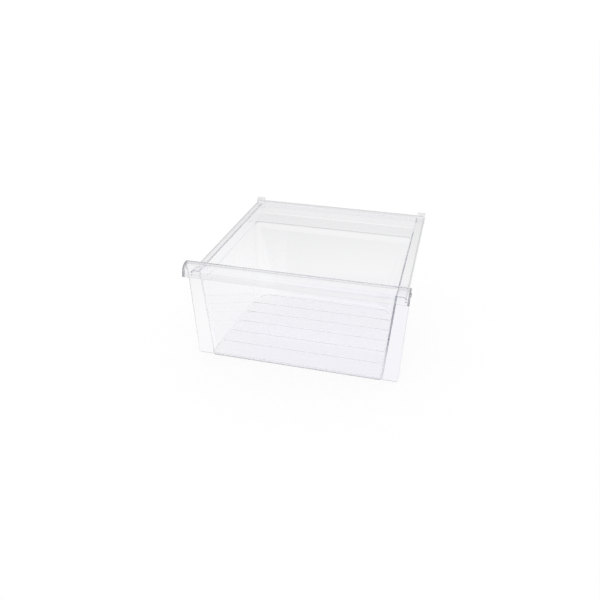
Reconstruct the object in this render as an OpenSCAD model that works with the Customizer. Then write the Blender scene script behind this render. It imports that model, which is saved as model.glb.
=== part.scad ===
// Clear moulded meat drawer for a fridge: a drafted basin behind a wide flat front panel, with a
// finger lip along the panel's top, a hanging rail on each side and a raised ledge at the back.
// X runs across the drawer, Y from its front to its back and Z up. The origin is under the middle
// of the drawer, on the surface that its floor rests on.

/* [Overall] */
// Width of the front panel along its top
panel_w = 400; // [340:1:480]
// Depth from the front of the finger lip to the back of the rear rim
drawer_d = 406; // [360:1:460]
// Height from the underside of the floor to the crest of the lip
drawer_h = 197.5; // [175:0.5:240]

/* [Moulding] */
// Thickness of the basin's walls
wall = 2.5; // [1.8:0.1:3.5]
// Thickness of the floor between its grooves
floor_t = 3.2; // [2.4:0.1:4.5]
// Thickness of the front panel
panel_t = 3.2; // [2.4:0.1:4.5]
// Thickness of the rim flange and its skirt
rim_t = 2.3; // [1.6:0.1:3]

/* [Front panel] */
// How much narrower the panel is on each side at its bottom
panel_taper = 7.8; // [0:0.1:12]
// How far the panel's bottom edge lies behind its top edge
panel_lean = 3.5; // [0:0.1:8]
// Radius of the panel's two bottom corners
panel_corner_r = 4; // [1:0.5:10]
// Height of the panel's bottom edge above the underside of the floor
panel_lift = 1.3; // [0.5:0.1:4]
// How far the small ear on each side of the panel stands out
ear_out = 2.2; // [1:0.1:3]

/* [Finger lip] */
// How far the lip reaches in front of the panel
lip_reach = 21; // [16:0.5:30]
// Height of the lip from its crest to its free edge
lip_drop = 22; // [18:0.5:30]
// Outer radius of the lip's bend
lip_r = 16; // [9:0.5:16]
// Thickness of the lip
lip_t = 3.1; // [2:0.1:4]

/* [Basin] */
// How far the panel stands out beyond the side wall at the height of the rim
fin_top = 22.4; // [18:0.2:28]
// How far the panel stands out beyond the side wall just above the floor
fin_low = 27.7; // [24:0.1:34]
// How much the floor narrows on each side towards the back
tail_in = 9; // [0:0.5:14]
// Radius between the floor and the walls, inside
floor_r = 3.5; // [2:0.5:8]
// Radius of the upright corners beside the front panel, inside
front_r = 4; // [2:0.5:10]

/* [Back wall] */
// Depth of the ledge, from its front edge to the upper back wall
ledge_d = 64; // [40:1:80]
// Height from the ledge up to the rim
ledge_drop = 25; // [16:0.5:36]
// Radius of the ledge's front edge
ledge_r = 15; // [8:0.5:18]
// How far the lower back wall leans back between the floor and the ledge
back_rake = 36; // [10:1:50]
// Radius of the back corners at the floor
corner_r_low = 48; // [20:1:60]
// Radius of the back corners at the ledge
corner_r_top = 9; // [6:0.5:20]

/* [Rim and rails] */
// Height from the rim's top face up to the crest of the lip
rim_drop = 18.5; // [14:0.5:28]
// How far the rim reaches out from the basin's wall
rim_reach = 16.3; // [12:0.1:20]
// Height of the skirt that hangs from the rim
skirt_h = 16; // [10:0.5:20]
// Radius of the rim's outer edge
rim_r = 6; // [2.5:0.5:7]
// Length behind the panel over which each skirt comes down to its full height
skirt_lead = 34; // [10:1:36]
// How much the rim narrows on each side towards the back
rim_tail = 1.4; // [0:0.2:4]
// Distance from the panel's face to the first of two webs under each rail
web_y = 38; // [37:1:60]
// Distance from the first web to the second
web_pitch = 11; // [6:0.5:16]
// Thickness of the webs
web_t = 1.8; // [1.2:0.1:3]

/* [Back stops] */
// Width of the stop on each back corner of the rim
stop_w = 17; // [12:0.5:20]
// Depth of each stop from front to back
stop_d = 13; // [9:0.5:18]
// Height of each stop above the rim
stop_h = 5; // [2:0.5:12]

/* [Floor grooves] */
// Number of shallow grooves across the floor
groove_n = 6; // [0:1:6]
// Distance from one groove to the next
groove_pitch = 40; // [30:0.5:40]
// Distance from the panel's face to the front edge of the first groove
groove_first = 39.5; // [24:0.5:42]
// Width of a groove from front to back
groove_w = 14.5; // [6:0.5:20]
// Depth of a groove
groove_depth = 1.2; // [0.6:0.1:1.6]

/* [Hidden] */
e = 0.01;

// heights
rim_z = drawer_h - rim_drop;
ledge_z = rim_z - ledge_drop;
lip_c = drawer_h - lip_r;            // centre of the lip's bend

// depths, measured from the panel's face at its top
rim_back = drawer_d - lip_reach;
well_back = rim_back - rim_reach - wall;
ledge_y = well_back - ledge_d;
floor_y = ledge_y - back_rake;
rake = atan(back_rake / (ledge_z - wall));
bend_y = lip_r - lip_reach + 0.8;    // centre of the lip's bend

// inner half widths of the basin beside the panel
half_rim = panel_w / 2 - fin_top - wall;
half_low = panel_w / 2 - panel_taper - fin_low - wall;
rail_out = panel_w / 2 - fin_top + rim_reach;

function lerp(a, b, t) = a + (b - a) * t;
function level(z) = (z - wall) / (rim_z - wall);

// Y of the panel's face at the height z, as the panel leans back towards its bottom
function face_y(z) = panel_lean * (1 - z / drawer_h);

// inner half width of the basin at its front and at its back, and the lower back wall's place
function half_front(z) = lerp(half_low, half_rim, level(z));
function half_back(z) =
    half_front(z) - tail_in * max(0, (ledge_z - z) / (ledge_z - wall));
function back_y(z) = lerp(floor_y, ledge_y, (z - wall) / (ledge_z - wall));
function corner_r(z) = lerp(corner_r_low, corner_r_top, (z - wall) / (ledge_z - wall));
function rail_x(y) = rail_out - rim_tail * y / rim_back;

// One thin level of the basin's form: wider than the inside by grow, drawn in by inset
module level_slice(z, grow, inset, y_front, r_front, y_back, r_back) {
    front = half_front(z) + grow - inset;
    back = half_back(z) + grow - inset;
    for (side = [-1, 1]) {
        translate([side * (front - r_front), y_front + r_front, z])
            cylinder(r = r_front, h = e, $fn = 24);
        translate([side * (back - r_back), y_back - r_back, z])
            cylinder(r = r_back, h = e, $fn = 48);
    }
}

// The basin below the ledge, with its raked back wall and with back corners that open out
// towards the floor. With grow = 0 it is the space inside.
module lower_form(grow) {
    r = floor_r + grow;
    inner = grow == 0;
    front_of = function(z, inset) inner ? face_y(z) + panel_t + inset : face_y(z) + 0.4;
    rounding = inner ? front_r : 0.2;
    hull() {
        for (a = [0:15:90]) {
            z = (inner ? floor_t : 0) + r * (1 - cos(a));
            inset = r * (1 - sin(a));
            level_slice(z, grow, inset, front_of(z, inset), rounding,
                back_y(z) + grow / cos(rake) - inset, corner_r(z) + grow - inset);
        }
        top = ledge_z - grow;
        level_slice(top, grow, 0, front_of(top, 0), rounding,
            back_y(top) + grow / cos(rake), corner_r(top) + grow);
    }
}

// The shallow part of the basin above the ledge, which reaches back to the rim
module upper_form(grow) {
    inner = grow == 0;
    rounding = inner ? front_r : 0.2;
    hull()
        for (z = [ledge_z - grow, inner ? rim_z + 1 : rim_z - e])
            level_slice(z, grow, 0, face_y(z) + (inner ? panel_t : 0.4), rounding,
                well_back + grow, corner_r_top + grow);
}

// The rounded front edge of the ledge, as the extra space in front of and above its curve. Where
// the back corners rise to the ledge's two ends, a round of their own scoops them out.
module ledge_edge(grow) {
    r = ledge_r - grow;
    cy = ledge_y + ledge_r * (1 / cos(rake) - tan(rake));
    cz = ledge_z - ledge_r;
    foot = [cy - r * cos(rake), cz + r * sin(rake)];
    scoop_r = corner_r_top + grow;
    scoop = [cy - (ledge_r + corner_r_top) * cos(rake), cz + (ledge_r + corner_r_top) * sin(rake)];
    half = function(z) half_back(z) + grow;
    intersection() {
        rotate([90, 0, 90])
            linear_extrude(height = panel_w, center = true) {
                difference() {
                    polygon([scoop - [scoop_r, 0], [scoop[0] - scoop_r, cz + r + e],
                        [cy, cz + r + e], [cy, cz], foot, scoop]);
                    translate([cy, cz]) circle(r = r, $fn = 64);
                }
                translate(scoop) circle(r = scoop_r, $fn = 64);
            }
        translate([0, rim_back, 0])
            rotate([90, 0, 0])
                linear_extrude(height = rim_back)
                    polygon([for (s = [[-1, cz / 2], [1, cz / 2], [1, ledge_z], [-1, ledge_z]])
                        [s[0] * half(s[1]), s[1]]]);
    }
}

module basin_form(grow) {
    lower_form(grow);
    upper_form(grow);
    ledge_edge(grow);
}

// Shallow grooves across the floor, which run as far as the foot of the side walls and of the
// round back corners
module floor_grooves() {
    edge = floor_r - 1.2;
    half = half_low - edge;
    corner = [half_low - tail_in - corner_r_low, floor_y - corner_r_low];
    translate([0, 0, floor_t - groove_depth])
        linear_extrude(height = groove_depth + 1)
            intersection() {
                for (i = [0:1:groove_n - 1])
                    translate([-panel_w / 2, groove_first + i * groove_pitch])
                        square([panel_w, groove_w]);
                union() {
                    polygon([[-half, 0], [half, 0], [half - tail_in, corner[1]],
                        [tail_in - half, corner[1]]]);
                    translate([-corner[0], corner[1]]) square([2 * corner[0], corner_r_low - edge]);
                    for (side = [-1, 1])
                        translate([side * corner[0], corner[1]])
                            circle(r = corner_r_low - edge, $fn = 96);
                }
            }
}

// Outline of the rim's block, drawn in by the thickness for its hollow underside
module rim_block(inset) {
    top = rim_z - inset;
    low = rim_z - skirt_h - (inset > 0 ? 1 : 0);
    r = rim_r - inset;
    y_front = face_y(rim_z) + panel_t / 2;
    module outline(z, draw_in) {
        for (side = [-1, 1]) {
            translate([side * (rail_x(y_front) - draw_in - 0.2), y_front, z])
                cylinder(r = 0.2, h = e, $fn = 16);
            translate([side * (rail_x(rim_back) - draw_in - rim_r),
                rim_back - draw_in - rim_r, z])
                cylinder(r = rim_r, h = e, $fn = 32);
        }
    }
    hull() {
        outline(low, inset);
        for (a = [0:22.5:90])
            outline(top - r * (1 - cos(a)) - e, inset + r * (1 - sin(a)));
    }
}

module rim_solid() {
    y_start = face_y(rim_z);
    low = rim_z - skirt_h;
    difference() {
        rim_block(0);
        difference() {
            rim_block(rim_t);
            // a pair of webs under each rail, between the side wall and the skirt
            for (y = [web_y, web_y + web_pitch])
                translate([-panel_w / 2, y, low + 2])
                    cube([panel_w, web_t, skirt_h]);
            // the strip just behind the panel stays whole as far as its face
            translate([-panel_w / 2, y_start, rim_z - rim_t])
                cube([panel_w, panel_t, rim_t]);
        }
        // each skirt comes down gradually behind the panel
        for (side = [-1, 1])
            translate([side > 0 ? half_rim : -half_rim - 30, y_start, 0])
                rotate([90, 0, 90])
                    linear_extrude(height = 30)
                        polygon([[-1, low - 1], [panel_t + skirt_lead, low - 1],
                            [panel_t + skirt_lead, low], [panel_t, rim_z - rim_r],
                            [-1, rim_z - rim_r]]);
    }
}

// Hollow stop on a back corner of the rim, with a sloping front so that it lifts over a catch
module back_stop(side) {
    slope = stop_h * 0.5;
    low = rim_z - skirt_h;
    outer = rail_x(rim_back) + 0.3;
    module profile(t)
        polygon([[t, low - t], [stop_d - t, low - t], [stop_d - t, rim_z + stop_h - t],
            [slope + t * 0.4, rim_z + stop_h - t], [t, rim_z + slope - t * 0.6]]);
    translate([side > 0 ? outer - stop_w : -outer, rim_back - stop_d, 0])
        difference() {
            rotate([90, 0, 90])
                linear_extrude(height = stop_w) profile(0);
            translate([rim_t, 0, 0])
                rotate([90, 0, 90])
                    linear_extrude(height = stop_w - 2 * rim_t) profile(rim_t);
        }
}

// Flat panel, leaning back, with rounded bottom corners and an ear beside each rail
module front_panel() {
    lean = atan(panel_lean / drawer_h);
    top = (drawer_h - lip_t / 2) / cos(lean);
    low = panel_lift / cos(lean);
    translate([0, panel_lean, 0])
        rotate([90 + lean, 0, 0])
            translate([0, 0, -panel_t]) {
                linear_extrude(height = panel_t)
                    difference() {
                        polygon([[-panel_w / 2 + panel_taper, low],
                            [panel_w / 2 - panel_taper, low],
                            [panel_w / 2, top], [-panel_w / 2, top]]);
                        for (side = [-1, 1])
                            translate([side * (panel_w / 2 - panel_taper), low])
                                rounding_cut(side);
                    }
                for (side = [-1, 1])
                    translate([side * (panel_w / 2 - 0.6), rim_z + 5, panel_t * 0.1])
                        linear_extrude(height = panel_t * 0.8)
                            scale([ear_out / 4, 1]) circle(r = 4, $fn = 32);
            }
}

// What is cut from a bottom corner of the panel to leave it round
module rounding_cut(side) {
    r = panel_corner_r;
    difference() {
        translate([side > 0 ? -r : -r / 2, -r / 2]) square([r * 1.5, r * 1.5]);
        translate([-side * r, r]) circle(r = r, $fn = 48);
        translate([side > 0 ? -3 * r : r, 0]) square([2 * r, 3 * r]);
        translate([side > 0 ? -3 * r : -r, r]) square([4 * r, 3 * r]);
    }
}

// Hooked finger lip along the whole of the panel's top
module finger_lip() {
    skirt = lip_c - (drawer_h - lip_drop);
    crest_back = panel_t + 0.3;
    crest_r = lip_t / 2;
    rotate([90, 0, 90])
        linear_extrude(height = panel_w, center = true) {
            translate([bend_y, lip_c])
                intersection() {
                    difference() {
                        circle(r = lip_r, $fn = 96);
                        circle(r = lip_r - lip_t, $fn = 96);
                    }
                    translate([-lip_r, 0]) square(lip_r + e);
                }
            translate([bend_y, drawer_h - lip_t]) square([crest_back - crest_r - bend_y, lip_t]);
            translate([crest_back - crest_r, drawer_h - lip_t]) square([crest_r, lip_t - crest_r]);
            translate([crest_back - crest_r, drawer_h - crest_r])
                intersection() {
                    circle(r = crest_r, $fn = 48);
                    square(crest_r);
                }
            polygon([[bend_y - lip_r, lip_c + e], [bend_y - lip_r + lip_t, lip_c + e],
                [lip_t - lip_reach, lip_c - skirt + lip_t / 2],
                [-lip_reach, lip_c - skirt + lip_t / 2]]);
            translate([lip_t / 2 - lip_reach, lip_c - skirt + lip_t / 2])
                circle(r = lip_t / 2, $fn = 32);
        }
}

module drawer() {
    color([0.90, 0.90, 0.95, 0.45])
        translate([0, lip_reach - drawer_d / 2, 0]) {
            difference() {
                union() {
                    basin_form(wall);
                    rim_solid();
                }
                basin_form(0);
                floor_grooves();
            }
            front_panel();
            finger_lip();
            for (side = [-1, 1]) back_stop(side);
        }
}

drawer();
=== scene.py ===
from math import acos, atan, atan2, cos, hypot, pi, radians, sin, tan

import bmesh
import bpy
from mathutils import Matrix, Vector


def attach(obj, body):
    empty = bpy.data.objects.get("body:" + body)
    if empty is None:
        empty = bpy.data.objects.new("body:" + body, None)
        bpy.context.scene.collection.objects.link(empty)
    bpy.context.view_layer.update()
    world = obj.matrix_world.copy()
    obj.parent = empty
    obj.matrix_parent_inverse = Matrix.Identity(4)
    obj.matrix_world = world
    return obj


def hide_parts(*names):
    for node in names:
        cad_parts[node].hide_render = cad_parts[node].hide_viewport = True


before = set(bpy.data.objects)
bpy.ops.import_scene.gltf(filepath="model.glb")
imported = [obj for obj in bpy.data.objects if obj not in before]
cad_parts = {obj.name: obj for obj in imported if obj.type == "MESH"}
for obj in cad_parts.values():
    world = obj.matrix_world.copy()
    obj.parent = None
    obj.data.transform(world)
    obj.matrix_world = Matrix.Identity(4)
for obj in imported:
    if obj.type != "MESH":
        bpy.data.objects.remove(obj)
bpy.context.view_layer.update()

mm = 0.001
faceAhead = 182.0  # the panel's face lies this far in front of the drawer's middle


def spot(x, y, z):
    # from millimetres, with y measured back from the panel's face, to the frame's metres
    return Vector((x, y - faceAhead, z)) * mm


def lerp(a, b, t):
    return a + (b - a) * t


# mesh helpers

def loft(name, rings):
    # a closed solid through rings with equally many points
    bm = bmesh.new()
    made = bmesh.ops.create_circle(bm, cap_ends=True, segments=len(rings[0]), radius=1)
    for vert, point in zip(made["verts"], rings[0]):
        vert.co = spot(*point)
    top = made["verts"][0].link_faces[0]
    place = {vert: i for i, vert in enumerate(made["verts"])}
    foot = top
    for ring in rings[1:]:
        order, below = [place[loop.vert] for loop in top.loops], top
        made = bmesh.ops.extrude_face_region(bm, geom=[top])
        top = [g for g in made["geom"] if isinstance(g, bmesh.types.BMFace)][0]
        if below is not foot:
            bmesh.ops.delete(bm, geom=[below], context="FACES_ONLY")
        place = {loop.vert: i for loop, i in zip(top.loops, order)}
        for vert, i in place.items():
            vert.co = spot(*ring[i])
    bmesh.ops.recalc_face_normals(bm, faces=bm.faces)
    return finished(name, bm)


def finished(name, bm):
    mesh = bpy.data.meshes.new(name)
    bm.to_mesh(mesh)
    bm.free()
    obj = bpy.data.objects.new(name, mesh)
    bpy.context.scene.collection.objects.link(obj)
    return obj


def soften(obj, radius, segments=3, angle=40, where=None):
    # rounds the sharp edges, or those of them that where() picks by their middle
    bm = bmesh.new()
    bm.from_mesh(obj.data)
    bmesh.ops.dissolve_limit(bm, angle_limit=radians(0.4), verts=bm.verts, edges=bm.edges)
    edges = [e for e in bm.edges if len(e.link_faces) == 2 and e.calc_face_angle(0) > radians(angle)]
    if where:
        edges = [e for e in edges if where((e.verts[0].co + e.verts[1].co) / 2 / mm)]
    bmesh.ops.bevel(bm, geom=edges, offset=radius * mm, offset_type="OFFSET", segments=segments,
                    profile=0.5, affect="EDGES", material=-1, clamp_overlap=True)
    bm.to_mesh(obj.data)
    bm.free()
    return obj


def combine(base, operation, *others):
    for other in others:
        step = base.modifiers.new(operation.lower(), "BOOLEAN")
        step.operation, step.solver, step.object = operation, "MANIFOLD", other
    bpy.context.view_layer.update()
    graph = bpy.context.evaluated_depsgraph_get()
    mesh = bpy.data.meshes.new_from_object(base.evaluated_get(graph))
    base.modifiers.clear()
    base.data = mesh
    for other in others:
        bpy.data.objects.remove(other)
    return base


# the basin

basin = {
    "height": 197.5, "wall": 2.5, "panelWall": 3.2, "lean": 3.5,
    "halfLow": 162.0, "halfRim": 175.1, "tailIn": 9.0,
    "floorThick": 3.2, "floorRound": 3.5, "frontRound": 4.0,
    "rimZ": 179.0, "ledgeZ": 154.0, "floorBack": 266.2, "ledgeFront": 302.2, "wellBack": 366.2,
    "ledgeRound": 15.0, "ledgeFillet": 2.5, "cornerLow": 48.0, "cornerTop": 9.0, "rimEdge": 1.6,
    "thinLeft": 2.4, "thickRight": 0.5, "panelBite": 0.05, "footShare": 0.4,
}
wall, rimZ, ledgeZ = basin["wall"], basin["rimZ"], basin["ledgeZ"]
rake = atan((basin["ledgeFront"] - basin["floorBack"]) / (ledgeZ - wall))


def upTo(z, top):
    return (z - wall) / (top - wall)


def halfFront(z):
    return lerp(basin["halfLow"], basin["halfRim"], upTo(z, rimZ))


def halfBack(z):
    return halfFront(z) - basin["tailIn"] * max(0, 1 - upTo(z, ledgeZ))


def faceY(z):
    return basin["lean"] * (1 - z / basin["height"])


def lowerBack(z):
    return lerp(basin["floorBack"], basin["ledgeFront"], upTo(z, ledgeZ))


def lowerCorner(z):
    return lerp(basin["cornerLow"], basin["cornerTop"], upTo(z, ledgeZ))


def basinRing(zFront, zBack, side, inset, back, backR, frontR):
    # one ring: side draws the walls out and inset draws the ring in; its back edge may lie higher or lower.
    # Beside the panel the photograph shows the left wall's end thin and the right wall's thick.
    inner = basin["panelWall"] - basin["panelBite"] + basin["footShare"] * max(inset, 0)
    front = faceY(zFront) + (inner if side == 0 else 0.4)

    def half(outwards):
        c1 = (halfFront(zFront) + side - inset - frontR + outwards, front + frontR)
        c2 = (halfBack(zBack) + side - inset - backR, back - backR)
        dx, dy = c2[0] - c1[0], c2[1] - c1[1]
        tangent = atan2(dy, dx) - acos((frontR - backR) / hypot(dx, dy))
        points = []
        for centre, r, start, end, steps, z in ((c1, frontR, -pi / 2, tangent, 6, zFront),
                                                (c2, backR, tangent, pi / 2, 24, zBack)):
            for i in range(steps + 1):
                a = lerp(start, end, i / steps)
                points.append((centre[0] + r * cos(a), centre[1] + r * sin(a), z))
        return points

    right, left = (half(-basin["thickRight"]), half(basin["thinLeft"])) if side == 0 else (half(0), half(0))
    return right + [(-x, y, h) for x, y, h in reversed(left)]


def basinForm(name, grow):
    # the space inside the basin, or with grow its outer form, in one loft from floor to rim
    frontR = basin["frontRound"] if grow == 0 else 0.3
    r = basin["floorRound"] + grow
    R = basin["ledgeRound"]
    arcY, arcZ, arcR = basin["ledgeFront"] + R * (1 / cos(rake) - tan(rake)), ledgeZ - R, R - grow
    fillet, floorZ = basin["ledgeFillet"], 0 if grow else basin["floorThick"]
    path = []  # height at the front and at the back, inset, y at the back, radius of the back corners
    for i in range(13):  # the rounded foot
        a = pi / 2 * i / 12
        z, inset = floorZ + r * (1 - cos(a)), r * (1 - sin(a))
        path.append((z, z, inset, lowerBack(z) + grow / cos(rake) - inset, lowerCorner(z) + grow - inset))
    low, high = floorZ + r, arcZ + arcR * sin(rake)
    for i in range(1, 13):  # up the raked wall
        z = lerp(low, high, i / 12)
        path.append((z, z, 0, lowerBack(z) + grow / cos(rake), lowerCorner(z) + grow))
    for i in range(1, 17):  # over the ledge's rounded edge
        a = lerp(pi - rake, pi / 2, i / 16)
        z = arcZ + arcR * sin(a)
        path.append((z, z, 0, arcY + arcR * cos(a), lowerCorner(z) + grow))
    flatZ, cornerR = ledgeZ - grow, basin["cornerTop"] + grow
    for i in range(1, 6):  # back along the ledge
        path.append((flatZ + i * 0.6, flatZ, 0, lerp(arcY, basin["wellBack"] - fillet, i / 5), cornerR))
    for i in range(1, 9):  # and up the upper wall
        a = lerp(-pi / 2, 0, i / 8)
        z = ledgeZ + fillet + (fillet + grow) * sin(a)
        back = basin["wellBack"] - fillet + (fillet + grow) * cos(a)
        path.append((flatZ + 3 + i * 0.6, z, 0, back, cornerR))
    if grow:
        path.append((rimZ - 0.1, rimZ - 0.1, 0, basin["wellBack"] + grow, cornerR))
    else:
        edge = basin["rimEdge"]
        for i in range(5):
            a = pi / 2 * i / 4
            z, out = rimZ - edge + edge * sin(a), edge * (1 - cos(a))
            path.append((z, z, -out, basin["wellBack"] + out, cornerR + out))
        path.append((rimZ + 1, rimZ + 1, -edge, basin["wellBack"] + edge, cornerR + edge))
    return loft(name, [basinRing(zf, zb, grow, inset, back, cornerR, frontR)
                       for zf, zb, inset, back, cornerR in path])


grooves = {"count": 6, "pitch": 40.0, "first": 39.5, "width": 14.5, "depth": 1.2, "short": 2.3, "round": 0.4}


def makeGrooves():
    top, deep, r = basin["floorThick"], basin["floorThick"] - grooves["depth"], grooves["round"]
    half = grooves["width"] / 2
    side = [(half + r, top + 2)]
    for k in range(4):  # the rounded brim
        a = pi / 2 * k / 3
        side.append((half + r - r * sin(a), top - r + r * cos(a)))
    for k in range(4):  # and the rounded bottom
        a = pi / 2 * k / 3
        side.append((half - r + r * cos(a), deep + r - r * sin(a)))
    bars = []
    for i in range(grooves["count"]):
        middle = grooves["first"] + i * grooves["pitch"] + half
        profile = [(middle + d, z) for d, z in side] + [(middle - d, z) for d, z in reversed(side)]
        bars.append(loft("groove", [[(x, y, z) for y, z in profile] for x in (-200, 200)]))
    inset = grooves["short"]
    back, cornerR = basin["floorBack"] - inset, basin["cornerLow"] - inset
    field = [basinRing(z, z, 0, inset, back, cornerR, basin["frontRound"]) for z in (deep - 1, top + 1)]
    return combine(combine(bars[0], "UNION", *bars[1:]), "INTERSECT", loft("field", field))


# the rim with its hanging skirt and the stops at the back

rim = {
    "thick": 2.3, "skirt": 16.0, "round": 6.0, "railOut": 193.9, "tail": 1.4, "back": 385.0,
    "web": 1.8, "webAt": (38.0, 49.0), "lead": 34.0,
}
stop = {"wide": 17.0, "deep": 13.0, "tall": 5.0}


def railX(y):
    return rim["railOut"] - rim["tail"] * y / rim["back"]


def rimBlock(inset):
    front = faceY(rimZ) + basin["panelWall"] / 2
    top, low = rimZ - inset, rimZ - rim["skirt"] - (1 if inset else 0)
    r = rim["round"] - inset

    def ring(z, drawIn):
        right = [(railX(front) - drawIn, front, z)]
        cx, cy = railX(rim["back"]) - drawIn - rim["round"], rim["back"] - drawIn - rim["round"]
        for i in range(9):
            a = pi / 2 * i / 8
            right.append((cx + rim["round"] * cos(a), cy + rim["round"] * sin(a), z))
        return right + [(-x, y, h) for x, y, h in reversed(right)]

    rings = [ring(low, inset)]
    for i in range(9):
        a = pi / 2 * i / 8
        rings.append(ring(top - r * (1 - sin(a)), inset + r * (1 - cos(a))))
    return loft("rim", rings)


def block(name, low, high):
    corners = [(low[1], low[2]), (high[1], low[2]), (high[1], high[2]), (low[1], high[2])]
    return loft(name, [[(x, y, z) for y, z in corners] for x in (low[0], high[0])])


def makeRim():
    skin, room = rimBlock(0), rimBlock(rim["thick"])
    start, low = faceY(rimZ), rimZ - rim["skirt"]
    webs = [block("web", (-200, y, low + 2), (200, y + rim["web"], rimZ + 1)) for y in rim["webAt"]]
    near = start + basin["panelWall"]
    strip = block("strip", (-200, -2, rimZ - rim["thick"]), (200, near - 0.3, rimZ + 1))
    combine(room, "DIFFERENCE", *webs, strip)
    # each skirt comes down gradually behind the panel
    far, high = near + rim["lead"], rimZ - rim["round"]
    wedge = [(start - 1, low - 1), (far, low - 1), (far, low), (near, high), (start - 1, high)]
    leads = [loft("lead", [[(x, y, z) for y, z in wedge] for x in ends])
             for ends in ((basin["halfRim"], 205), (-205, -basin["halfRim"]))]
    return combine(skin, "DIFFERENCE", room, *leads)


def makeStop(side):
    t, low = rim["thick"], rimZ - rim["skirt"]
    outer = railX(rim["back"]) + 0.3
    left = outer - stop["wide"] if side > 0 else -outer
    slope = stop["tall"] * 0.5

    def solid(x1, x2, d):
        back, high = rim["back"] - d, rimZ + stop["tall"] - d
        front = rim["back"] - stop["deep"]
        profile = [(front + d, low - d), (back, low - d), (back, high),
                   (front + slope + d * 0.4, high), (front + d, rimZ + slope - d * 0.6)]
        return loft("stop", [[(x, y, z) for y, z in profile] for x in (x1, x2)])

    skin = soften(solid(left, left + stop["wide"], 0), 0.9, 4, 20, lambda p: p.z > low + 1)
    return combine(skin, "DIFFERENCE", solid(left + t, left + stop["wide"] - t, t))


# the front panel and its finger lip

panel = {
    "width": 400.0, "taper": 7.8, "lift": 1.3, "cornerR": 4.0, "edge": 1.2,
    "earOut": 2.2, "earLong": 4.0, "earIn": 0.6, "earUp": 5.0,
}
lip = {
    "reach": 21.0, "drop": 22.0, "round": 16.0, "thick": 3.1, "hem": 1.1, "edge": 0.5,
    "bead": 3.2, "beadThick": 5.4, "beadHem": 4.0, "bendIn": 0.8, "backRound": 1.5, "overlap": 0.3,
}


def makePanel():
    height, t = basin["height"], basin["panelWall"]
    half, low, top = panel["width"] / 2, panel["lift"], height - lip["thick"] / 2
    r = panel["cornerR"]
    right = []
    for i in range(9):
        a = lerp(-pi / 2, 0, i / 8)
        right.append((half - panel["taper"] - r + r * cos(a), low + r + r * sin(a)))
    right.append((half, top))
    outline = right + [(-x, z) for x, z in reversed(right)]
    slab = loft("panel", [[(x, faceY(z) + d, z) for x, z in outline] for d in (0, t)])
    soften(slab, panel["edge"], 3, 40, lambda p: p.z < top - 1)
    ears = []
    for side in (-1, 1):
        x0, z0 = side * (half - panel["earIn"]), rimZ + panel["earUp"]
        turns = [2 * pi * i / 24 for i in range(24)]
        disc = [(x0 + panel["earOut"] * cos(a), z0 + panel["earLong"] * sin(a)) for a in turns]
        ears.append(loft("ear", [[(x, faceY(z0) + t * d, z) for x, z in disc] for d in (0.1, 0.9)]))
    return combine(slab, "UNION", *ears)


def lipProfile(t, hem):
    # its section, thinner towards the free edge at the front
    height, r = basin["height"], lip["round"]
    cy, cz = r - lip["reach"] + lip["bendIn"], height - r
    freeZ = height - lip["drop"] + hem / 2
    back, edge = basin["panelWall"] + lip["overlap"], lip["backRound"]
    profile = []
    for i in range(7):  # the top's back edge
        a = lerp(0, pi / 2, i / 6)
        profile.append((back - edge + edge * cos(a), height - edge + edge * sin(a)))
    for i in range(25):  # over the crest and down the front
        a = lerp(pi / 2, pi, i / 24)
        profile.append((cy + r * cos(a), cz + r * sin(a)))
    for i in range(9):  # round the free edge
        a = lerp(pi, 2 * pi, i / 8)
        profile.append((hem / 2 - lip["reach"] + hem / 2 * cos(a), freeZ + hem / 2 * sin(a)))
    for i in range(25):  # and back up inside
        a = lerp(pi, pi / 2, i / 24)
        profile.append((cy + (r - t) * cos(a), cz + (r - t) * sin(a)))
    return profile + [(back, height - t)]


def makeLip():
    half = panel["width"] / 2

    def stretch(t, hem, *ends):
        return loft("lip", [[(x, y, z) for y, z in lipProfile(t, hem)] for x in ends])

    beads = [stretch(lip["beadThick"], lip["beadHem"], side * half, side * (half - lip["bead"]))
             for side in (-1, 1)]
    body = combine(stretch(lip["thick"], lip["hem"], -half, half), "UNION", *beads)
    return soften(body, lip["edge"], 3, 60, lambda p: abs(p.x) > half - 0.1)


body = combine(basinForm("drawerMoulding", wall), "UNION",
               makeRim(), makePanel(), makeLip(), makeStop(-1), makeStop(1))
print("outer forms joined,", len(body.data.polygons), "faces")
combine(body, "DIFFERENCE", combine(basinForm("room", 0), "UNION", makeGrooves()))
print("hollowed,", len(body.data.polygons), "faces")

clean = bmesh.new()
clean.from_mesh(body.data)
bmesh.ops.remove_doubles(clean, verts=clean.verts, dist=0.00002)
bmesh.ops.dissolve_degenerate(clean, edges=clean.edges, dist=0.00002)
for face in clean.faces:
    face.smooth = True
for edge in clean.edges:
    edge.smooth = len(edge.link_faces) == 2 and edge.calc_face_angle(0) < radians(32)
print("open edges", sum(1 for e in clean.edges if len(e.link_faces) != 2))
clean.to_mesh(body.data)
clean.free()
body.name = body.data.name = "drawerMoulding"
normals = body.modifiers.new("flatFaces", "WEIGHTED_NORMAL")
normals.keep_sharp = True


# shader maths in Python's operators

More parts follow.
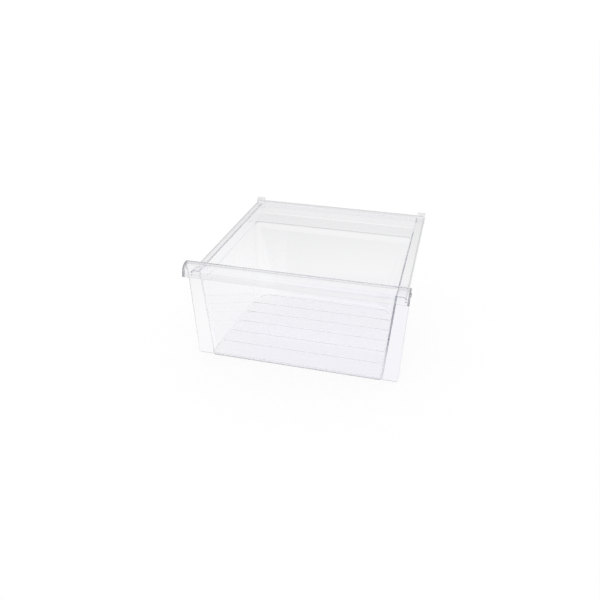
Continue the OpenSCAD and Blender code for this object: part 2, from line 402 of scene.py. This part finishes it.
class Wire:
    # wraps an output socket, so that an expression on it adds the Math nodes
    def __init__(self, board, socket):
        self.board, self.socket = board, socket

    def math(self, operation, *values, clamp=False):
        return self.board.node("Math", {"operation": operation, "use_clamp": clamp}, dict(enumerate(values)))

    def __add__(self, other):
        return self.math("ADD", self, other)

    def __sub__(self, other):
        return self.math("SUBTRACT", self, other)

    def __mul__(self, other):
        return self.math("MULTIPLY", self, other)

    def __truediv__(self, other):
        return self.math("DIVIDE", self, other)

    def __pow__(self, other):
        return self.math("POWER", self, other)

    def __rsub__(self, other):
        return self.math("SUBTRACT", other, self)

    def __rtruediv__(self, other):
        return self.math("DIVIDE", other, self)

    __radd__, __rmul__ = __add__, __mul__

    def clipped(self):
        return self.math("MULTIPLY", self, 1, clamp=True)

    def either(self, other):
        return self.math("MAXIMUM", self, other)


class Board:
    # the node tree of a material or the world
    def __init__(self, owner):
        owner.use_nodes = True
        self.tree = owner.node_tree
        self.tree.nodes.clear()

    def node(self, kind, settings, sockets, output=0):
        made = self.tree.nodes.new("ShaderNode" + kind)
        for key, value in settings.items():
            setattr(made, key, value)
        for key, value in sockets.items():
            if isinstance(value, Wire):
                self.tree.links.new(value.socket, made.inputs[key])
            else:
                made.inputs[key].default_value = value
        return Wire(self, made.outputs[output])

    def ends(self, kind, **shaders):
        made = self.tree.nodes.new("ShaderNodeOutput" + kind)
        for key, value in shaders.items():
            self.tree.links.new(value.socket, made.inputs[key])


plastic = {
    "tint": (0.985, 0.985, 0.995, 1), "ior": 1.57, "clear": 1.0, "roughness": 0.02, "smudge": 0.03,
    "satinAndShade": 0.45, "paintedEdgeShade": (0.62, 0.62, 0.66, 1), "satinAndShadeWide": 0.8, "edgeShadeShare": 0.38,
    "absorb": (0.6, 0.597, 0.68, 1), "density": 1.8,
    "rippleScale": 9.0, "rippleDepth": 0.00004,
}


def clearPlastic():
    material = bpy.data.materials.new("clearPlastic")
    board = Board(material)
    place = board.node("TexCoord", {}, {}, "Object")
    cloud = board.node("TexNoise", {}, {"Vector": place, "Scale": 14.0, "Detail": 4.0, "Roughness": 0.6})
    ripple = board.node("TexNoise", {}, {"Vector": place, "Scale": plastic["rippleScale"], "Detail": 2.0})
    bump = board.node("Bump", {}, {"Height": ripple, "Distance": plastic["rippleDepth"], "Strength": 1.0})
    part = {axis: board.node("SeparateXYZ", {}, {0: place}, axis) for axis in ("X", "Y", "Z")}

    def past(value, border, blur):
        # 0 below the border and 1 above it, both in millimetres
        return ((value - border * mm) / (blur * mm)).clipped()

    # the panel's outer edges and the lip's two end faces are satin, that is rougher, and their grey tint is
    # painted shade that draws them as dark lines
    low = panel["width"] / 2 - panel["taper"]
    out = part["X"].math("ABSOLUTE", part["X"]) - part["Z"] * (panel["taper"] / basin["height"])
    side = past(out, low - plastic["satinAndShadeWide"], 0.2)
    foot = past(0 - part["Z"], -panel["lift"] - plastic["satinAndShadeWide"], 0.2)
    edge = side.either(foot * past(0 - part["Y"], faceAhead - faceY(0) - basin["panelWall"], 0.3))
    end = past(out, low - lip["bead"] + 0.4, 0.2) * past(0 - part["Y"], faceAhead, 0.3)
    satinAndShade = edge * plastic["edgeShadeShare"] + end
    # painted shade: the grey tint darkens the panel's edges and the lip's end faces
    tint = board.node("Mix", {"data_type": "RGBA"},
                      {0: satinAndShade.clipped(), 6: plastic["tint"], 7: plastic["paintedEdgeShade"]}, 2)
    rough = plastic["roughness"] + plastic["smudge"] * cloud + plastic["satinAndShade"] * edge.either(satinAndShade)
    shell = board.node("BsdfPrincipled", {}, {
        "Base Color": tint, "Roughness": rough, "IOR": plastic["ior"],
        "Transmission Weight": plastic["clear"], "Normal": bump})
    depth = board.node("VolumeAbsorption", {}, {"Color": plastic["absorb"], "Density": plastic["density"]})
    board.ends("Material", Surface=shell, Volume=depth)
    return material


body.data.materials.clear()
body.data.materials.append(clearPlastic())
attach(body, "root")
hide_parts("drawer")
print("plastic on")

# the camera

view = {
    "lens": 36.232, "shift": (-0.02295, -0.00602), "turn": 13.392, "roll": 0.848,
    "ahead": (-0.20211, 0.84889, -0.4884), "place": (0.24586, -1.07006, 0.66978),
}


def makeCamera():
    camera = bpy.data.objects.new("camera", bpy.data.cameras.new("camera"))
    bpy.context.scene.collection.objects.link(camera)
    camera.data.lens = view["lens"]
    camera.data.shift_x, camera.data.shift_y = view["shift"]
    ahead = Vector(view["ahead"]).normalized()
    level = Vector((cos(radians(view["turn"])), sin(radians(view["turn"])), 0))
    rise = level.cross(ahead)
    roll = radians(view["roll"])
    across, up = level * cos(roll) + rise * sin(roll), rise * cos(roll) - level * sin(roll)
    pose = Matrix((across, up, -ahead)).transposed().to_4x4()
    pose.translation = Vector(view["place"])
    camera.matrix_world = pose
    bpy.context.scene.camera = camera


makeCamera()

# the floor and the studio around it: white to the camera, and to the plastic a pale table in a dim room,
# with a painted pool of light around the drawer and a painted shadow under it

studio = {
    "floorSize": 12.0, "gap": 0.0004, "floorWhite": (0.9, 0.9, 0.9, 1), "floorGlow": 1.0, "glowShare": 0.88,
    "paintedLightReach": 0.15, "paintedLightFade": 2.2, "tableDim": 0.35,
    "paintedShadow": (0.935, 0.928, 0.963, 1), "paintedShadowSpot": (0.09, -0.07, 0), "paintedShadowReach": 0.18, "paintedShadowFade": 0.14,
    "frontLeft": (0.3, 0.3, 0.3, 1), "frontRight": (1.2, 1.2, 1.2, 1), "back": (0.7, 0.7, 0.7, 1),
    "frontHigh": (1, 1, 1, 1), "highLow": 0.08, "highFade": 0.17, "turn": 0.35, "white": (1, 1, 1, 1),
    "skyLow": 0.7, "skyHigh": 0.9, "sky": (1.2, 1.2, 1.2, 1),
    "light": (1.15, 1.15, 1.15, 1),
}


def makeFloor():
    bm = bmesh.new()
    bmesh.ops.create_grid(bm, x_segments=1, y_segments=1, size=studio["floorSize"] / 2)
    bmesh.ops.translate(bm, verts=bm.verts, vec=(0, 0, -studio["gap"]))
    floor = finished("floor", bm)
    material = bpy.data.materials.new("paleFloor")
    board = Board(material)
    place = board.node("TexCoord", {}, {}, "Object")
    away = board.node("VectorMath", {"operation": "LENGTH"}, {0: place}, "Value")
    # painted light: to the plastic the table glows brightest near the drawer and fades towards the dim room
    near = (1 - (away - studio["paintedLightReach"]) / studio["paintedLightFade"]).clipped()
    seen = {name: board.node("LightPath", {}, {}, "Is %s Ray" % name)
            for name in ("Camera", "Transmission", "Glossy")}
    camera, through = seen["Camera"], seen["Transmission"].either(seen["Glossy"])
    glow = board.node("Emission", {}, {"Color": studio["white"], "Strength": studio["floorGlow"]})
    dark = board.node("Emission", {}, {"Color": studio["white"], "Strength": studio["tableDim"]})
    matt = board.node("BsdfDiffuse", {}, {"Color": studio["floorWhite"]})
    table = board.node("MixShader", {}, {0: camera.either(near), 1: dark, 2: glow})
    # painted shadow: what the plastic sees of the floor under the drawer is a little darker and lavender
    paintedShadow = board.node("Emission", {}, {"Color": studio["paintedShadow"], "Strength": 1.0})
    off = board.node("VectorMath", {"operation": "DISTANCE"}, {0: place, 1: studio["paintedShadowSpot"]}, "Value")
    under = (1 - (off - studio["paintedShadowReach"]) / studio["paintedShadowFade"]).clipped() * (1 - camera)
    table = board.node("MixShader", {}, {0: under, 1: table, 2: paintedShadow})
    lit = (camera * studio["glowShare"]).either(through)
    board.ends("Material", Surface=board.node("MixShader", {}, {0: lit, 1: matt, 2: table}))
    floor.data.materials.append(material)


def makeStudio():
    world = bpy.data.worlds.new("studio")
    bpy.context.scene.world = world
    board = Board(world)
    towards = board.node("TexCoord", {}, {}, "Generated")
    height = board.node("SeparateXYZ", {}, {0: towards}, "Z")
    overhead = ((height - studio["skyLow"]) / (studio["skyHigh"] - studio["skyLow"])).clipped()
    tone = {key: board.node("Background", {}, {"Color": studio[key], "Strength": 1.0})
            for key in ("frontLeft", "frontRight", "frontHigh", "back")}
    way = {axis: board.node("SeparateXYZ", {}, {0: towards}, axis) for axis in ("X", "Y")}
    turned = {axis: ((way[axis] + studio["turn"]) / (2 * studio["turn"])).clipped() for axis in way}
    front = board.node("MixShader", {}, {0: turned["X"], 1: tone["frontLeft"], 2: tone["frontRight"]})
    lifted = ((height - studio["highLow"]) / studio["highFade"]).clipped()
    front = board.node("MixShader", {}, {0: lifted, 1: front, 2: tone["frontHigh"]})
    room = board.node("MixShader", {}, {0: turned["Y"], 1: front, 2: tone["back"]})
    sky = board.node("Background", {}, {"Color": studio["sky"], "Strength": 1.0})
    plain = board.node("Background", {}, {"Color": studio["light"], "Strength": 1.0})
    seen = {name: board.node("LightPath", {}, {}, "Is %s Ray" % name) for name in ("Transmission", "Glossy")}
    direct = (1 - board.node("LightPath", {}, {}, "Diffuse Depth")).clipped()
    through = seen["Transmission"].either(seen["Glossy"]) * direct
    dim = board.node("MixShader", {}, {0: overhead, 1: room, 2: sky})
    board.ends("World", Surface=board.node("MixShader", {}, {0: through, 1: plain, 2: dim}))


makeFloor()
makeStudio()
print("floor, studio and camera ready")

# light that is caught in the plates is followed to its end, which is what darkens their edges
cycles = bpy.context.scene.cycles
cycles.max_bounces = cycles.transmission_bounces = cycles.glossy_bounces = 400
bpy.context.scene.view_settings.view_transform = "Standard"
